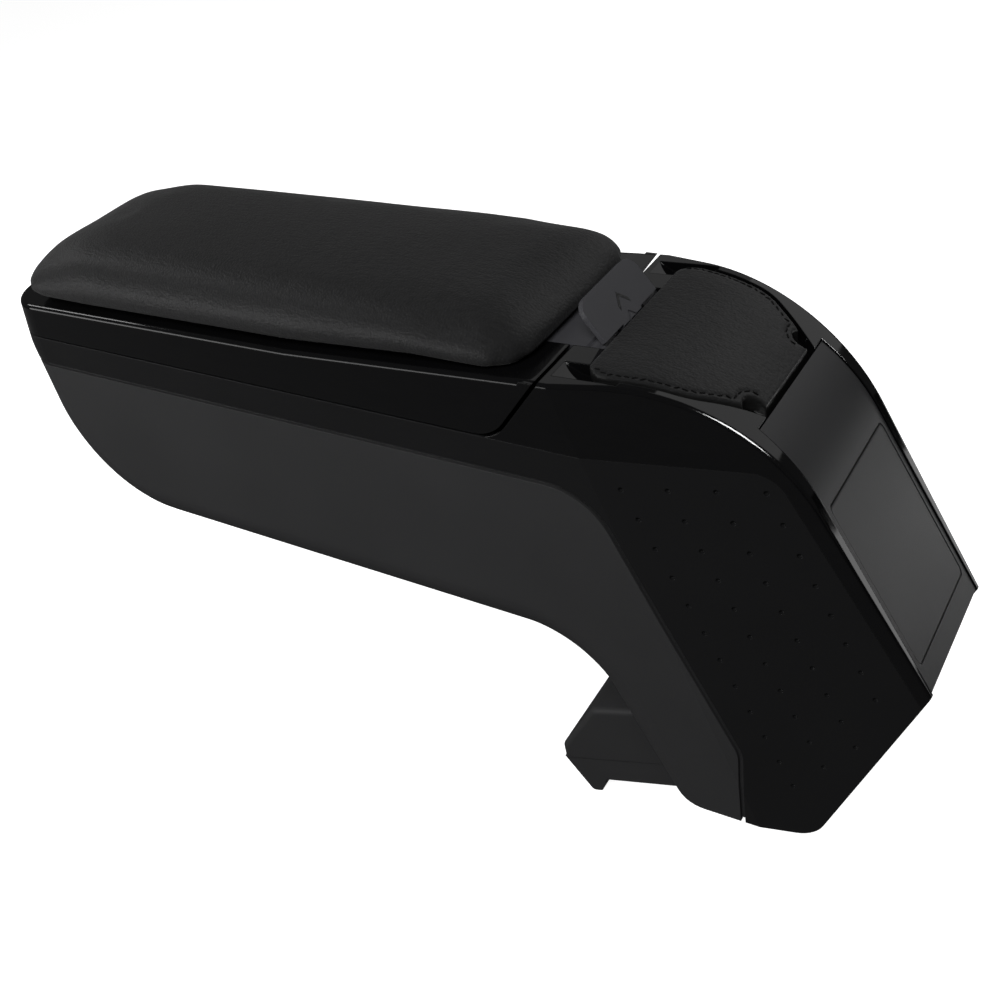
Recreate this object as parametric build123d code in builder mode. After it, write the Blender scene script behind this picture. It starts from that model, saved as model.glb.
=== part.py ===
from build123d import *
from math import cos, radians, sin, tan
import os

os.makedirs("parts", exist_ok=True)

# Arm box, seen from the side: x runs rearward from the lid's joint, z up from the deck
ARM_WIDTH = 112.0
ARM_LENGTH = 350.5
ARM_DEPTH = 152.0
EDGE_RADIUS = 24.5
NOSE_RADIUS = 75.0
NOSE_BREAK = 37.3
NOSE_BREAK_RADIUS = 43.0
NOSE_SETBACK = 6.6
BEND_RADIUS = 40.0
BEND_SETBACK = 6.0
WALL = 3.0
RUN_GAP = 0.3

# Rim line of the lid: level deck, a fall behind the pad, then a long slow fall to the nose
DECK_STRIP = 10.0
RIM_BREAK = 136.0
RIM_BREAK_DROP = 8.0
NOSE_DROP = 12.0

# Column: its front and its creases lean back, its sides draw in towards the rear
COLUMN_DEPTH = 236.0
COLUMN_LEAN = 23.7
HEEL_LEAN = 23.7
HEEL_RADIUS = 14.0
HEEL_RISE = 6.0
SADDLE_LENGTH = 80.5
SADDLE_RISE = 3.2
SADDLE_RADIUS = 90.0
REAR_SLOPE = 61.6
REAR_DROP = 133.0
CREASE_SETBACK = 15.5
CREASE_LEAN = 19.1
SIDE_TAPER = 11.7
RAIL_RADIUS = 1.8

# Joints between the mouldings
SEAM_DROP = 31.7
SEAM_RADIUS = 16.0
STRIP_WIDTH = 6.0
GROOVE_DROP = 48.1
GROOVE_CORNER = 17.5
GROOVE_RADIUS = 33.0
GROOVE_FOOT = 137.0
GROOVE_FOOT_RADIUS = 20.0
GROOVE_WIDTH = 2.2
GROOVE_SINK = 1.5
LID_GAP = 1.7
LID_SEAM_GAP = 1.0
LID_REAR_RUN = 25.5
LID_REAR_RADIUS = 22.0

# Dimples on the column's sides, in rows that follow its lean
DIMPLE_RADIUS = 1.1
DIMPLE_SETBACK = 31.5
DIMPLE_DROP = 45.0
DIMPLE_ROW_RUN = 6.2
DIMPLE_ROW_FALL = 14.0
DIMPLE_ROWS = 12
DIMPLE_COLUMN_RUN = 18.9
DIMPLE_COLUMN_RISE = 1.6
DIMPLE_COLUMNS = 4
DIMPLE_MARGIN = 9.0

# Foot: a wedge under the column, tilted to the arm; its underside is the part's origin
DECK_HEIGHT = 266.0
JOINT_SETBACK = 22.0
FOOT_TILT = 22.0
FOOT_WIDTH = 60.0
FOOT_FRONT = 63.5
FOOT_REAR = 70.0
FOOT_SEAM = 17.0
FOOT_TOP = 54.5
FOOT_RAMP_FOOT = 26.0
FOOT_RAMP_RUN = 40.0
FOOT_RAMP_SETBACK = 3.5
FOOT_WALL = 3.0
PLUG_STEP = 1.0
LIP_DROP = 9.5
LIP_WIDTH = 6.5
LIP_SETBACK = 6.0
HEEL_RUN = 8.5
FOOT_CLEARANCE = 0.5

# Hinge of the lid, in the notch between deck and saddle
AXIS_SETBACK = 10.0
AXIS_DROP = 3.4
PIN_RADIUS = 1.6
PIN_CLEARANCE = 0.05
KNUCKLE_RADIUS = 4.2
NOTCH_WIDTH = 51.0
NOTCH_CLEARANCE = 0.45
CHEEK_WIDTH = 5.0
CHEEK_LENGTH = 11.0
DECK_SKIN = 0.9
ARM_BLOCK_REACH = 28.0
TAB_SLOT_WIDTH = 25.8
HINGE_SCREW_SETIN = 5.0
WASHER_RADIUS = 2.3
WASHER_THICKNESS = 0.8

# Finger tab
TAB_WIDTH = 45.0
TAB_TIP_SETBACK = 3.0
TAB_TIP_RISE = 17.3
TAB_FOOT_SETBACK = 15.0
TAB_FOOT_RISE = 1.5
TAB_THICKNESS = 2.6
TAB_CORNER = 7.0
TAB_SHOULDER = 0.8
TAB_KNUCKLE_WIDTH = 15.6
CHEVRON_WIDTH = 9.0
CHEVRON_HEIGHT = 7.0
CHEVRON_STROKE = 1.6
CHEVRON_SINK = 0.4
SPRING_RADIUS = 2.5
SPRING_WIRE = 0.42
SPRING_PITCH = 1.05

# Well and flap on the saddle
WELL_FRONT = 17.5
WELL_WAIST = 58.0
WELL_REAR = 82.0
WELL_FRONT_MARGIN = 7.5
WELL_WAIST_MARGIN = 14.5
WELL_REAR_MARGIN = 30.5
WELL_FRONT_WIDTH = ARM_WIDTH - 2 * WELL_FRONT_MARGIN
WELL_WAIST_WIDTH = ARM_WIDTH - 2 * WELL_WAIST_MARGIN
WELL_REAR_WIDTH = ARM_WIDTH - 2 * WELL_REAR_MARGIN
WELL_DEPTH = 6.0
WELL_CORNER = 8.0
WELL_WAIST_RADIUS = 30.0
SCOOP_START = 37.5
SCOOP_DEPTH = 5.0
SCOOP_RADIUS = 20.7
FLAP_MARGIN = 1.6
FLAP_RISE = 0.5
FLAP_CORNER = 9.0
FLAP_EDGE = 1.6
FLAP_NOTCH = 4.5

# Rear cover
PANEL_MARGIN = 22.5
PANEL_WIDTH = ARM_WIDTH - 2 * PANEL_MARGIN
PANEL_SINK = 0.7
INSET_TOP = 108.0
INSET_BOTTOM = 146.0
INSET_MARGIN = 3.0
INSET_WIDTH = PANEL_WIDTH - 2 * INSET_MARGIN
INSET_CORNER = 2.0
INSET_SINK = 0.9
INSET_THICKNESS = 1.0
FIT = 0.3

# Lid
LINER_DROP = 28.5
LINER_THICKNESS = 2.5
LINER_REAR = 42.0
BOSS_RADIUS = 3.5
SCREW_RADIUS = 1.5
SCREW_CLEARANCE = 0.1
SCREW_HEAD_RADIUS = 3.2
SCREW_HEAD = 1.8
SCREW_LENGTH = 10.0
LINER_SCREW_REAR = 62.0
LINER_SCREW_SHIFT = 11.0
LINER_SCREW_NOSE = 40.0
LINER_SCREW_MARGIN = 16.0
LINER_SCREW_STATIONS = (
    LINER_SCREW_REAR,
    ARM_LENGTH / 2 + LINER_SCREW_SHIFT,
    ARM_LENGTH - LINER_SCREW_NOSE,
)
LINER_SCREW_SPREAD = ARM_WIDTH - 2 * LINER_SCREW_MARGIN
RIM_RADIUS = 2.5
BOARD_THICKNESS = 3.0
BOARD_INSET = 11.0
PAD_REAR = DECK_STRIP
PAD_NOSE_MARGIN = 20.0
PAD_SIDE_MARGIN = 3.0
PAD_FRONT = ARM_LENGTH - PAD_NOSE_MARGIN
PAD_WIDTH = ARM_WIDTH - 2 * PAD_SIDE_MARGIN
PAD_RISE = 19.0
PAD_END_FALL = 2.2
PAD_CROWN = 3.5
PAD_CROWN_RADIUS = 400.0
PAD_FRONT_FALL = 20.0
PAD_FRONT_RUN = 17.5
PAD_FRONT_RADIUS = 50.0
PAD_LIP_RADIUS = 5.0
PAD_FRONT_CORNER = 33.0
PAD_REAR_CORNER = 20.0
PAD_TOP_RADIUS = 13.0
BUMPER_RADIUS = 3.0
BUMPER_NOSE_MARGIN = 12.5
BUMPER_STATION = ARM_LENGTH - BUMPER_NOSE_MARGIN
BUMPER_SPREAD = 56.0

# Storage bin and the ledge that carries it
LEDGE_DROP = 38.5
LEDGE_THICKNESS = 2.5
BIN_NOSE_MARGIN = 14.0
BIN_FRONT = ARM_LENGTH - BIN_NOSE_MARGIN
BIN_REAR = 54.0
BIN_SIDE_MARGIN = 12.5
BIN_WIDTH = ARM_WIDTH - 2 * BIN_SIDE_MARGIN
BIN_FLOOR_MARGIN = 7.0
BIN_DROP = ARM_DEPTH - BIN_FLOOR_MARGIN
BIN_WALL = 2.0
BIN_CORNER = 10.0
BIN_NOSE_RADIUS = 58.0
BIN_REAR_RADIUS = 14.0
BIN_CLEARANCE = 0.4
FLANGE_WIDTH = 5.0
MAT_THICKNESS = 2.0
MAT_MARGIN = 12.0
BIN_SCREW_REAR = 70.0
BIN_SCREW_NOSE = 30.0
BIN_SCREW_STATIONS = (BIN_SCREW_REAR, ARM_LENGTH - BIN_SCREW_NOSE)

# Spine strap
STRAP_WIDTH = 44.0
STRAP_THICKNESS = 3.0
STRAP_BEND = 8.0
STRAP_STANDOFF = 6.0
STRAP_TOP = 12.0
STRAP_REACH = 66.0
STRAP_BOLT_RADIUS = 2.5
STRAP_BOLT_HEAD_RADIUS = 4.5
STRAP_BOLT_HEAD = 3.0
STRAP_BOLT_SPREAD = 24.0
STRAP_BOLT_MARGIN = 10.0
STRAP_BOLT_PITCH = 23.0
STRAP_BEND_MARGIN = 15.0
STRAP_BOLT_LENGTH = 8.0
FOOT_SCREW_FIRST = 46.0
FOOT_SCREW_PITCH = 14.0
FOOT_SCREW_STATIONS = (FOOT_SCREW_FIRST, FOOT_SCREW_FIRST + FOOT_SCREW_PITCH)
FOOT_SCREW_SPREAD = 26.0

# Working planes and points that follow from the sizes above
HALF = ARM_WIDTH / 2
LEAN = tan(radians(COLUMN_LEAN))
SIDE = Plane(origin=(-JOINT_SETBACK, 0, DECK_HEIGHT), x_dir=(1, 0, 0), z_dir=(0, -1, 0))
DECK = Plane(origin=(-JOINT_SETBACK, 0, DECK_HEIGHT))
FOOT = Plane(
    origin=(0, 0, 0),
    x_dir=(cos(radians(FOOT_TILT)), 0, sin(radians(FOOT_TILT))),
    z_dir=(0, -1, 0),
)
AXIS = (AXIS_SETBACK, -AXIS_DROP)
REAR_FOOT = SADDLE_LENGTH + REAR_DROP / tan(radians(REAR_SLOPE))
HEEL = REAR_FOOT - (COLUMN_DEPTH - HEEL_RISE - REAR_DROP) * tan(radians(HEEL_LEAN))
TOE = (COLUMN_DEPTH - ARM_DEPTH) * LEAN - BEND_SETBACK
FAR = ARM_LENGTH + 2 * ARM_WIDTH
BELOW = COLUMN_DEPTH + ARM_WIDTH


def region(corners, grow=0.0):
    """A face with (x, z, corner radius) corners, grown by an amount on every side."""
    with BuildSketch() as face:
        with BuildLine():
            FilletPolyline(
                *[(x, z) for x, z, _ in corners],
                radius=[radius for _, _, radius in corners],
                close=True,
            )
        make_face()
        if grow:
            offset(amount=grow, kind=Kind.INTERSECTION)
    return face.sketch


def taper_plane(side):
    """The plane of one drawn-in column side, through its crease, facing outward."""
    fall = tan(radians(SIDE_TAPER))
    lean = radians(CREASE_LEAN)
    crease = SIDE.from_local_coords((CREASE_SETBACK, -SEAM_DROP, 0))
    origin = Vector(crease.X, side * HALF, crease.Z)
    return Plane(origin=origin, z_dir=(fall * cos(lean), side, fall * sin(lean)))


def side_point(x, z, side):
    """The point of a drawn-in column side at a place in the side view."""
    lean = radians(CREASE_LEAN)
    run = (x - CREASE_SETBACK) * cos(lean) + (z + SEAM_DROP) * sin(lean)
    return SIDE.from_local_coords((x, z, side * (run * tan(radians(SIDE_TAPER)) - HALF)))


def rim_line(rise):
    """The lid's rim from nose to joint, as side-view points at a height above it."""
    return [
        (NOSE_SETBACK - ARM_LENGTH, rise - NOSE_DROP),
        (-RIM_BREAK, rise - RIM_BREAK_DROP),
        (-DECK_STRIP, rise),
    ]


OUTLINE = [
    *[(x, z, 0) for x, z in rim_line(0)],
    (SADDLE_LENGTH, SADDLE_RISE, SADDLE_RADIUS),
    (REAR_FOOT, -REAR_DROP, 0),
    (HEEL, HEEL_RISE - COLUMN_DEPTH, HEEL_RADIUS),
    (TOE, -COLUMN_DEPTH, 0),
    (-BEND_SETBACK, -ARM_DEPTH, BEND_RADIUS),
    (-ARM_LENGTH, -ARM_DEPTH, NOSE_RADIUS),
    (-ARM_LENGTH, -NOSE_BREAK, NOSE_BREAK_RADIUS),
]


def body_form(inset):
    """The closed outer form of arm and column, drawn in on every side."""
    half = HALF - inset
    profile = region(OUTLINE, -inset)
    with BuildPart() as form:
        with BuildSketch(SIDE):
            add(profile)
        extrude(amount=half, both=True)
        rounded = [
            edge
            for edge in form.edges()
            if abs(abs(edge.center().Y) - half) < 0.01
            and SIDE.to_local_coords(edge.center()).X < TOE
            and SIDE.to_local_coords(edge.center()).Y < -NOSE_DROP - inset - WALL
        ]
        fillet(rounded, EDGE_RADIUS - inset)
        for side in (-1, 1):
            split(bisect_by=taper_plane(side).offset(-inset), keep=Keep.BOTTOM)
    return form.part


def layer(outer, inner):
    """The skin between two forms, one inside the other."""
    with BuildPart() as skin:
        add(outer)
        add(inner, mode=Mode.SUBTRACT)
    return skin.part


def side_slice(solid, face):
    """The part of a solid inside a face drawn from the side, cut straight across."""
    with BuildPart() as cut:
        add(solid)
        with BuildSketch(SIDE):
            add(face)
        extrude(amount=ARM_WIDTH, both=True, mode=Mode.INTERSECT)
    return cut.part


def plan_slice(solid, plan):
    """The part of a solid inside a face drawn on the deck, cut straight up and down."""
    with BuildPart() as cut:
        add(solid)
        with BuildSketch(DECK):
            add(plan)
        extrude(amount=BELOW, both=True, mode=Mode.INTERSECT)
    return cut.part


def screws(places, radius, length, head_radius, head):
    """Pan-head screws, heads on the XY plane of each place and shanks along its z axis."""
    with BuildPart() as group:
        with Locations(*places):
            Cylinder(radius, length, align=(Align.CENTER, Align.CENTER, Align.MIN))
            Cylinder(head_radius, head, align=(Align.CENTER, Align.CENTER, Align.MAX))
    return group.part


# Side-view faces of the mouldings
groove_end = GROOVE_CORNER + GROOVE_FOOT * LEAN
lower_side = [
    (-FAR, -GROOVE_DROP, 0),
    (GROOVE_CORNER, -GROOVE_DROP, GROOVE_RADIUS),
    (groove_end, -GROOVE_DROP - GROOVE_FOOT, GROOVE_FOOT_RADIUS),
    (groove_end, -BELOW, 0),
    (-FAR, -BELOW, 0),
]
strip_top = SADDLE_LENGTH - STRIP_WIDTH / sin(radians(REAR_SLOPE))
under_seam = [
    (-FAR, -SEAM_DROP, 0),
    (strip_top + SEAM_DROP / tan(radians(REAR_SLOPE)), -SEAM_DROP, SEAM_RADIUS),
    (strip_top + BELOW / tan(radians(REAR_SLOPE)), -BELOW, 0),
    (-FAR, -BELOW, 0),
]
ahead_of_joint = [
    (-FAR, -SEAM_DROP, 0),
    (-LID_REAR_RUN, -SEAM_DROP, LID_REAR_RADIUS),
    (0, 0, 0),
    (0, BELOW, 0),
    (-FAR, BELOW, 0),
]
lower_face = region(lower_side)
under_groove_face = region(lower_side, -GROOVE_WIDTH)
under_seam_face = region(under_seam)
lid_face = region(ahead_of_joint, -LID_SEAM_GAP)
lid_and_joint_face = region(ahead_of_joint, LID_GAP - LID_SEAM_GAP)
with BuildSketch() as groove_face:
    add(lower_face)
    add(under_groove_face, mode=Mode.SUBTRACT)
with BuildSketch() as upper_face:
    add(under_seam_face)
    add(lower_face, mode=Mode.SUBTRACT)
with BuildSketch() as saddle_face:
    Rectangle(2 * FAR, 2 * BELOW)
    add(under_seam_face, mode=Mode.SUBTRACT)
    add(lid_and_joint_face, mode=Mode.SUBTRACT)

# Forms, from the outermost in
grown_form = body_form(-WALL)
outer_form = body_form(0)
inner_form = body_form(WALL)
shell = layer(outer_form, inner_form)

# Lower shell: arm underside and column front in one moulding, open for the foot
groove_ring = side_slice(layer(grown_form, body_form(GROOVE_SINK)), groove_face.sketch)
lower_skin = side_slice(shell, lower_face)
foot_hole = region(
    [
        (-FOOT_FRONT, 0, 0),
        (-FOOT_FRONT, FOOT_RAMP_FOOT, 0),
        (FOOT_RAMP_RUN - FOOT_FRONT, FOOT_TOP, 0),
        (FOOT_REAR, FOOT_TOP, 0),
        (FOOT_REAR, 0, 0),
    ],
    FOOT_CLEARANCE,
)
column_front = Plane(
    origin=SIDE.from_local_coords((-BEND_SETBACK, -ARM_DEPTH, 0)),
    x_dir=(sin(radians(COLUMN_LEAN)), 0, -cos(radians(COLUMN_LEAN))),
    z_dir=(cos(radians(COLUMN_LEAN)), 0, sin(radians(COLUMN_LEAN))),
)
strap_seat = column_front.offset(WALL + STRAP_STANDOFF)
strap_top = strap_seat.offset(STRAP_THICKNESS / 2).from_local_coords((STRAP_TOP, 0, 0))
strap_down = strap_seat.x_dir
leg_end = FOOT.from_local_coords((STRAP_REACH, FOOT_TOP + STRAP_THICKNESS / 2, 0))
leg_dir = FOOT.x_dir
spread = leg_end - strap_top
turn = strap_down.X * leg_dir.Z - strap_down.Z * leg_dir.X
strap_length = (spread.X * leg_dir.Z - spread.Z * leg_dir.X) / turn
strap_corner = strap_top + strap_down * strap_length
bolt_rows = 1 + int((strap_length - STRAP_BOLT_MARGIN - STRAP_BEND_MARGIN) // STRAP_BOLT_PITCH)
bolt_spots = [
    (STRAP_TOP + STRAP_BOLT_MARGIN + row * STRAP_BOLT_PITCH, side * STRAP_BOLT_SPREAD / 2)
    for row in range(bolt_rows)
    for side in (-1, 1)
]
with BuildPart() as lower_shell:
    add(lower_skin)
    add(groove_ring, mode=Mode.SUBTRACT)
    with BuildSketch(FOOT):
        add(foot_hole)
    extrude(amount=FOOT_WIDTH / 2 + FOOT_CLEARANCE, both=True, mode=Mode.SUBTRACT)
    with BuildSketch(strap_seat):
        with Locations(*bolt_spots):
            Circle(STRAP_BOLT_HEAD_RADIUS)
    extrude(amount=-STRAP_STANDOFF - WALL / 2)
    with BuildSketch(strap_seat):
        with Locations(*bolt_spots):
            Circle(STRAP_BOLT_RADIUS + SCREW_CLEARANCE)
    extrude(amount=STRAP_THICKNESS - STRAP_BOLT_LENGTH - SCREW_CLEARANCE, mode=Mode.SUBTRACT)
lower_shell.part.label = "lower_shell"
export_step(lower_shell.part, "parts/lower_shell.step")

# Upper shell: rim of the arm box, column sides, and the ledge that carries the bin
ledge_rear = BIN_REAR - 2 * FLANGE_WIDTH
ledge_face = region(
    [
        (-FAR, -LEDGE_DROP, 0),
        (-ledge_rear, -LEDGE_DROP, 0),
        (-ledge_rear, -LEDGE_DROP - LEDGE_THICKNESS, 0),
        (-FAR, -LEDGE_DROP - LEDGE_THICKNESS, 0),
    ]
)
upper_skin = side_slice(shell, upper_face.sketch)
ledge = side_slice(body_form(WALL / 2), ledge_face)
bin_middle = -(BIN_FRONT + BIN_REAR) / 2
bin_length = BIN_FRONT - BIN_REAR
bin_screw_spots = [
    (-station, side * (BIN_WIDTH + FLANGE_WIDTH) / 2) for station in BIN_SCREW_STATIONS for side in (-1, 1)
]
dimple_spots = []
for row in range(DIMPLE_ROWS):
    for column in range(DIMPLE_COLUMNS):
        x = DIMPLE_SETBACK + row * DIMPLE_ROW_RUN + column * DIMPLE_COLUMN_RUN
        z = column * DIMPLE_COLUMN_RISE - row * DIMPLE_ROW_FALL - DIMPLE_DROP
        heel_line = REAR_FOOT + (z + REAR_DROP) * tan(radians(HEEL_LEAN))
        if x < heel_line - DIMPLE_MARGIN or z > -REAR_DROP:
            dimple_spots += [side_point(x, z, side) for side in (-1, 1)]
with BuildPart() as upper_shell:
    add(upper_skin)
    with Locations(*dimple_spots):
        Sphere(DIMPLE_RADIUS, mode=Mode.SUBTRACT)
    add(ledge)
    with BuildSketch(FOOT):
        add(foot_hole)
    extrude(amount=FOOT_WIDTH / 2 + FOOT_CLEARANCE, both=True, mode=Mode.SUBTRACT)
    with BuildSketch(DECK.offset(-LEDGE_DROP)):
        with Locations((bin_middle, 0)):
            RectangleRounded(bin_length + 2 * BIN_CLEARANCE, BIN_WIDTH + 2 * BIN_CLEARANCE, BIN_CORNER)
        with Locations(*bin_screw_spots):
            Circle(SCREW_RADIUS + SCREW_CLEARANCE)
    extrude(amount=-LEDGE_THICKNESS, mode=Mode.SUBTRACT)
upper_shell.part.label = "upper_shell"
export_step(upper_shell.part, "parts/upper_shell.step")

# Saddle trim: cap, rails, well for the flap, hinge cheeks and the strips down the rear edges
joint_edge = LID_GAP - LID_SEAM_GAP
front_wall_face = region(
    [
        (joint_edge, 0, 0),
        (joint_edge + 2 * WALL, 0, 0),
        (joint_edge + 2 * WALL - LID_REAR_RUN, -SEAM_DROP, 0),
        (joint_edge - LID_REAR_RUN, -SEAM_DROP, 0),
    ]
)


def well_plan(grow, corner):
    """The well's outline on the deck, wide at the front and drawn in behind its waist."""
    return region(
        [
            (WELL_FRONT, -WELL_FRONT_WIDTH / 2, corner),
            (WELL_WAIST, -WELL_WAIST_WIDTH / 2, WELL_WAIST_RADIUS),
            (WELL_REAR, -WELL_REAR_WIDTH / 2, 0),
            (WELL_REAR, WELL_REAR_WIDTH / 2, 0),
            (WELL_WAIST, WELL_WAIST_WIDTH / 2, WELL_WAIST_RADIUS),
            (WELL_FRONT, WELL_FRONT_WIDTH / 2, corner),
        ],
        grow,
    )


well_face = well_plan(0, WELL_CORNER)
flap_face = well_plan(-FLAP_MARGIN, FLAP_CORNER)
flap_front = WELL_FRONT + FLAP_MARGIN
scoop_width = WELL_FRONT_WIDTH / 2 - SCOOP_START
tray_plan = well_plan(WALL, WELL_CORNER)
with BuildSketch() as tray_face:
    add(tray_plan)
    with Locations(
        *[(joint_edge, side * (SCOOP_START + scoop_width / 2)) for side in (-1, 1)]
    ):
        Rectangle(WELL_FRONT, scoop_width + WALL, align=(Align.MIN, Align.CENTER))
well_form = body_form(WELL_DEPTH)
tray_form = body_form(WELL_DEPTH + WALL)
tray = plan_slice(side_slice(layer(outer_form, tray_form), saddle_face.sketch), tray_face.sketch)
well = plan_slice(side_slice(layer(grown_form, well_form), saddle_face.sketch), well_face)
front_wall = side_slice(side_slice(outer_form, saddle_face.sketch), front_wall_face)
saddle_skin = side_slice(shell, saddle_face.sketch)
window_face = region(
    [
        (WELL_REAR, -PANEL_WIDTH / 2, 0),
        (FAR, -PANEL_WIDTH / 2, 0),
        (FAR, PANEL_WIDTH / 2, 0),
        (WELL_REAR, PANEL_WIDTH / 2, 0),
    ]
)
window = plan_slice(side_slice(layer(grown_form, tray_form), saddle_face.sketch), window_face)
outline_wire = region(OUTLINE).wire()


def on_rail(edge):
    """Whether an edge is part of the cap's outer rail, on one side and on the outline."""
    for share in (0.2, 0.5, 0.8):
        point = edge.position_at(share)
        local = SIDE.to_local_coords(point)
        side = 1 if point.Y > 0 else -1
        off_side = min(abs(taper_plane(side).to_local_coords(point).Z), HALF - abs(point.Y))
        off_outline = outline_wire.distance_to(Vertex(local.X, local.Y, 0))
        if off_side > 0.01 or off_outline > 0.01 or local.Y < 1 - REAR_DROP or local.X < joint_edge + 0.1:
            return False
    return True


with BuildPart() as saddle_trim:
    add(saddle_skin)
    add(front_wall)
    add(tray)
    add(window, mode=Mode.SUBTRACT)
    fillet([edge for edge in saddle_trim.edges() if on_rail(edge)], RAIL_RADIUS)
    add(well, mode=Mode.SUBTRACT)
    with BuildSketch(SIDE):
        with Locations((flap_front - NOTCH_CLEARANCE, 0)):
            Rectangle(FAR, SEAM_DROP, align=(Align.MAX, Align.CENTER))
    extrude(amount=NOTCH_WIDTH / 2, both=True, mode=Mode.SUBTRACT)
    for side in (-1, 1):
        with BuildSketch(SIDE.offset(side * SCOOP_START)):
            with Locations((WELL_FRONT, SCOOP_RADIUS - SCOOP_DEPTH)):
                Circle(SCOOP_RADIUS)
        extrude(amount=side * scoop_width, mode=Mode.SUBTRACT)
        with BuildSketch(SIDE.offset(side * NOTCH_WIDTH / 2)):
            with Locations((AXIS_SETBACK, -DECK_SKIN)):
                Rectangle(CHEEK_LENGTH, WELL_DEPTH + WALL, align=(Align.CENTER, Align.MAX))
        extrude(amount=side * CHEEK_WIDTH)
        with BuildSketch(SIDE.offset(side * (NOTCH_WIDTH / 2 + CHEEK_WIDTH))):
            with Locations((AXIS_SETBACK, -DECK_SKIN)):
                Rectangle(CHEEK_LENGTH, WELL_DEPTH + WALL, align=(Align.CENTER, Align.MAX))
        extrude(amount=side * CHEEK_WIDTH, mode=Mode.SUBTRACT)
    with BuildSketch(SIDE):
        with Locations(AXIS):
            Circle(PIN_RADIUS + PIN_CLEARANCE)
    extrude(amount=NOTCH_WIDTH / 2 + CHEEK_WIDTH, both=True, mode=Mode.SUBTRACT)
saddle_trim.part.label = "saddle_trim"
export_step(saddle_trim.part, "parts/saddle_trim.step")

# Rear cover and the plate let into it
panel_face = region(
    [
        (WELL_REAR + FIT, -PANEL_WIDTH / 2 + FIT, 0),
        (FAR, -PANEL_WIDTH / 2 + FIT, 0),
        (FAR, PANEL_WIDTH / 2 - FIT, 0),
        (WELL_REAR + FIT, PANEL_WIDTH / 2 - FIT, 0),
    ]
)
recess_face = region(
    [
        (INSET_TOP, -INSET_WIDTH / 2, INSET_CORNER),
        (INSET_BOTTOM, -INSET_WIDTH / 2, INSET_CORNER),
        (INSET_BOTTOM, INSET_WIDTH / 2, INSET_CORNER),
        (INSET_TOP, INSET_WIDTH / 2, INSET_CORNER),
    ]
)
inset_face = region(
    [
        (INSET_TOP + FIT, -INSET_WIDTH / 2 + FIT, INSET_CORNER - FIT),
        (INSET_BOTTOM - FIT, -INSET_WIDTH / 2 + FIT, INSET_CORNER - FIT),
        (INSET_BOTTOM - FIT, INSET_WIDTH / 2 - FIT, INSET_CORNER - FIT),
        (INSET_TOP + FIT, INSET_WIDTH / 2 - FIT, INSET_CORNER - FIT),
    ]
)
recess_form = body_form(INSET_SINK + INSET_THICKNESS)
panel_skin = layer(body_form(PANEL_SINK), inner_form)
recess = plan_slice(side_slice(layer(grown_form, recess_form), saddle_face.sketch), recess_face)
with BuildPart() as rear_panel:
    add(plan_slice(side_slice(panel_skin, saddle_face.sketch), panel_face))
    add(recess, mode=Mode.SUBTRACT)
rear_panel.part.label = "rear_panel"
export_step(rear_panel.part, "parts/rear_panel.step")

inset_skin = layer(body_form(INSET_SINK), recess_form)
with BuildPart() as rear_inset:
    add(plan_slice(side_slice(inset_skin, saddle_face.sketch), inset_face))
rear_inset.part.label = "rear_inset"
export_step(rear_inset.part, "parts/rear_inset.step")

# Leather flap in the well
flap_skin = layer(body_form(-FLAP_RISE), well_form)
flap_wire = region(OUTLINE, FLAP_RISE).wire()


def on_flap_rim(edge):
    """Whether an edge runs round the flap's upper face, at its front or along its sides."""
    point = edge.position_at(0.5)
    local = SIDE.to_local_coords(point)
    at_edge = abs(point.Y) > 1 or local.X < flap_front + 0.1
    return at_edge and flap_wire.distance_to(Vertex(local.X, local.Y, 0)) < 0.01


with BuildPart() as flap:
    add(plan_slice(side_slice(flap_skin, saddle_face.sketch), flap_face))
    fillet([edge for edge in flap.edges() if on_flap_rim(edge)], FLAP_EDGE)
    with BuildSketch(DECK):
        with Locations(*[(WELL_REAR - FLAP_NOTCH, side * WELL_REAR_WIDTH / 2) for side in (-1, 1)]):
            Circle(FLAP_NOTCH)
    extrude(amount=BELOW, both=True, mode=Mode.SUBTRACT)
flap.part.label = "flap"
export_step(flap.part, "parts/flap.step")


# Storage bin hung by its flange on the ledge, its mat and its screws
def bin_form(inset):
    """The bin's outer form, open at the flange, drawn in on every side."""
    profile = region(
        [
            (-BIN_FRONT + inset, -LEDGE_DROP + FLANGE_WIDTH, 0),
            (-BIN_REAR - inset, -LEDGE_DROP + FLANGE_WIDTH, 0),
            (-BIN_REAR - inset, -BIN_DROP + inset, BIN_REAR_RADIUS - inset),
            (-BIN_FRONT + inset, -BIN_DROP + inset, BIN_NOSE_RADIUS - inset),
        ]
    )
    half = BIN_WIDTH / 2 - inset
    with BuildPart() as form:
        with BuildSketch(SIDE):
            add(profile)
        extrude(amount=half, both=True)
        rounded = [
            edge
            for edge in form.edges()
            if abs(abs(edge.center().Y) - half) < 0.01
            and SIDE.to_local_coords(edge.center()).Y < -LEDGE_DROP
        ]
        fillet(rounded, BIN_CORNER - inset)
    return form.part


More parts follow.
